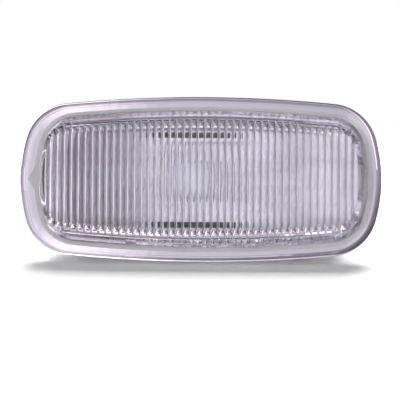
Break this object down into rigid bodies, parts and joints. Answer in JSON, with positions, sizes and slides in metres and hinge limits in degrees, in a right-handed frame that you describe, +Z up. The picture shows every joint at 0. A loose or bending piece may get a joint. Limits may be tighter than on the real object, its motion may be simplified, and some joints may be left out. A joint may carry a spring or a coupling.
{
  "type": "side repeater lamp",
  "caption": "Clear side repeater lamp with a vertically fluted lens on a grey clip-in housing, a push-in wedge bulb and its holder with a plug socket.",
  "frame": {"origin": "on the outer face of the car panel, in the middle of the body that passes through the panel's cut-out", "axes": "+X along the lamp to the end with the fixed hook, +Y into the panel, so the lens faces -Y, +Z up the panel"},
  "size_m": [0.103, 0.0545, 0.0468],
  "materials": {
    "clear_lens": "clear polished acrylic",
    "housing_grey": "fine satin moulding",
    "bright_reflector": "bright metallised",
    "seal_rubber": "closed-cell foam",
    "spring_steel": "bright spring strip",
    "bulb_glass": "clear glass",
    "filament_wire": "drawn wire",
    "lead_wire": "plated wire",
    "holder_plastic": "fine satin moulding",
    "ring_rubber": "smooth",
    "contact_metal": "tinned strip"
  },
  "bodies": {
    "root": {"lens": "clear_lens", "housing": "housing_grey", "reflector": "bright_reflector", "panel_seal": "seal_rubber", "spring_clip": "spring_steel", "bulb_glass": "bulb_glass", "filament": "filament_wire", "bulb_lead_left": "lead_wire", "bulb_lead_right": "lead_wire", "bulb_holder": "holder_plastic", "holder_seal": "ring_rubber", "contact_left": "contact_metal", "contact_right": "contact_metal"}
  },
  "joints": []
}
